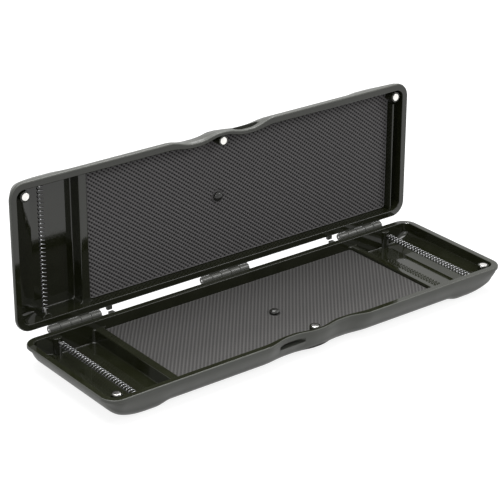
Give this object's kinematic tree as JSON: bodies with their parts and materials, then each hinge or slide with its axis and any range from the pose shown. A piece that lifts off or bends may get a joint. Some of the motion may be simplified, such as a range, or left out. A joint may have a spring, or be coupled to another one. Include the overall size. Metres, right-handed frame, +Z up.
{
  "type": "tackle box",
  "caption": "Long flat hinged box for fishing rigs: two shallow trays with foam boards, coil springs across the end bays, magnets in the rims and barrel hinges; shown open.",
  "frame": {"origin": "below the middle of the open box, on the surface that it stands on", "axes": "+X along the box to the right, +Y from the finger edge to the hinges, +Z up"},
  "size_m": [0.372, 0.1404, 0.1384],
  "materials": {
    "plastic": "gloss inside, satin outside",
    "foam": "matt slitted foam",
    "stud": "gloss",
    "magnet": "polished nickel plate",
    "spring_steel": "bright wire",
    "pin_steel": "satin"
  },
  "bodies": {
    "base": {"base_shell": "plastic", "base_foam": "foam", "base_foam_stud": "stud", "base_left_magnet": "magnet", "base_centre_magnet": "magnet", "base_right_magnet": "magnet", "base_left_spring": "spring_steel", "base_left_spring_front_pin": "pin_steel", "base_left_spring_rear_pin": "pin_steel", "base_right_spring": "spring_steel", "base_right_spring_front_pin": "pin_steel", "base_right_spring_rear_pin": "pin_steel", "hinge_pin_left": "pin_steel", "hinge_pin_centre": "pin_steel", "hinge_pin_right": "pin_steel"},
    "lid": {"lid_shell": "plastic", "lid_foam": "foam", "lid_foam_stud": "stud", "lid_left_magnet": "magnet", "lid_centre_magnet": "magnet", "lid_right_magnet": "magnet", "lid_left_spring": "spring_steel", "lid_left_spring_front_pin": "pin_steel", "lid_left_spring_rear_pin": "pin_steel"}
  },
  "joints": [
    {"name": "lid_hinge", "type": "hinge", "parent": "base", "child": "lid", "pos_m": [0, 0.04732, 0.021], "axis": [1, 0, 0], "range_deg": [0, 91]}
  ]
}
